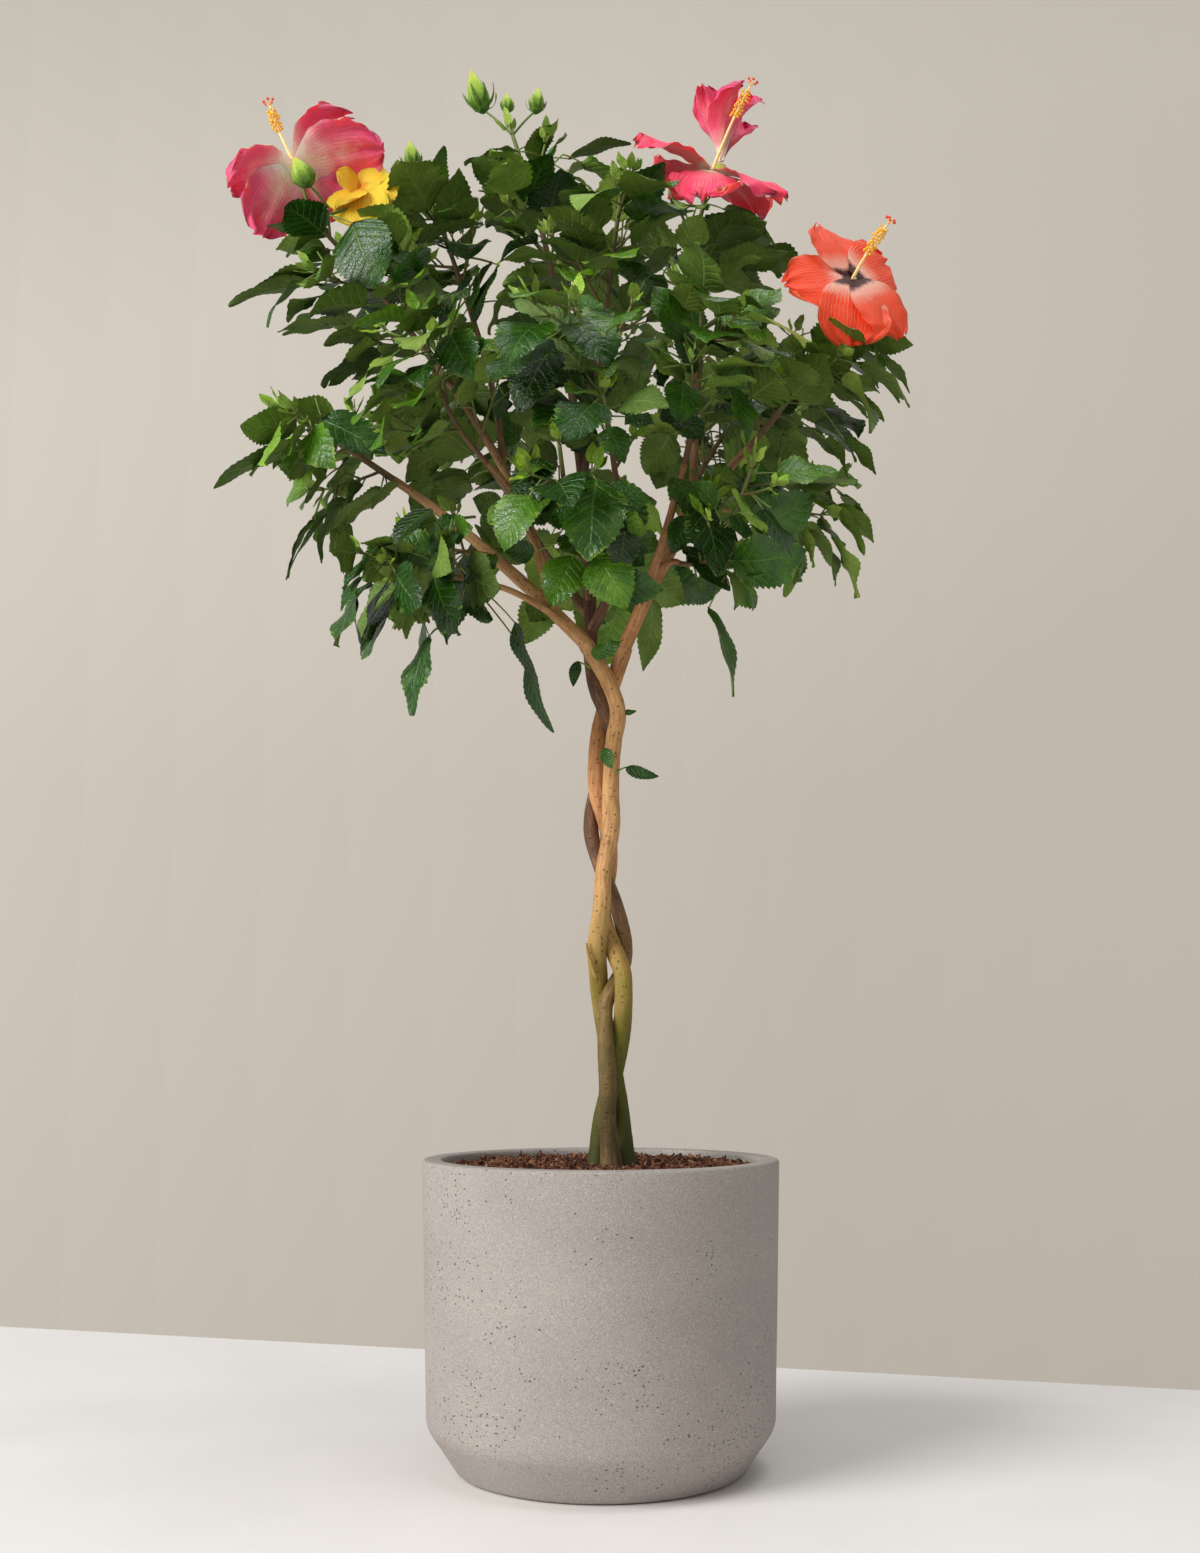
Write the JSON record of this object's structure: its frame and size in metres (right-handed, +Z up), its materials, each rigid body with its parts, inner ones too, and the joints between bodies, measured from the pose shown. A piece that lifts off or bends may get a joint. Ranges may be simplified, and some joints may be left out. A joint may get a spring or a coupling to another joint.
{
  "type": "braided hibiscus standard in a planter",
  "caption": "Small flowering hibiscus tree with a braided trunk and a full leafy crown, growing in a round planter with a chamfered base",
  "frame": {"origin": "The centre of the planter's flat underside, which stands on the floor or table.", "axes": "+Z is up along the trunk. -Y faces the viewer of the picture. +X is to the viewer's right."},
  "size_m": [0.6349, 0.4351, 1.2453],
  "materials": {
    "planter": "matte",
    "soil": "matte",
    "bark_tan": "matte",
    "bark_brown": "matte",
    "bark_ochre": "matte",
    "foliage": "satin"
  },
  "bodies": {
    "root": {"pot": "planter", "soil": "soil", "stem_tan": "bark_tan", "stem_brown": "bark_brown", "stem_ochre": "bark_ochre", "bough_left": "bark_tan", "bough_crown_leader": "bark_tan", "bough_right": "bark_tan", "bough_upper_left": "bark_tan", "bough_low_left": "bark_tan", "bough_mid_left": "bark_tan", "bough_top_left": "bark_tan", "bough_centre_front": "bark_tan", "bough_low_front": "bark_tan", "bough_centre_top": "bark_tan", "bough_right_front": "bark_tan", "bough_right_low": "bark_tan", "bough_top_right": "bark_tan", "bough_right_outer": "bark_tan", "bough_back_left": "bark_tan", "bough_back_low": "bark_tan", "bough_back_top": "bark_tan", "bough_back_right": "bark_tan", "bough_back_left_low": "bark_tan", "foliage_left_tip": "foliage", "foliage_upper_left": "foliage", "foliage_low_left": "foliage", "foliage_mid_left": "foliage", "foliage_top_left": "foliage", "foliage_top_leader": "foliage", "foliage_centre_front": "foliage", "foliage_low_front": "foliage", "foliage_centre_top": "foliage", "foliage_right_front": "foliage", "foliage_right_low": "foliage", "foliage_top_right": "foliage", "foliage_right_tip": "foliage", "foliage_right_outer": "foliage", "foliage_back_left": "foliage", "foliage_back_low": "foliage", "foliage_back_top": "foliage", "foliage_back_right": "foliage", "foliage_back_left_low": "foliage"}
  },
  "joints": []
}
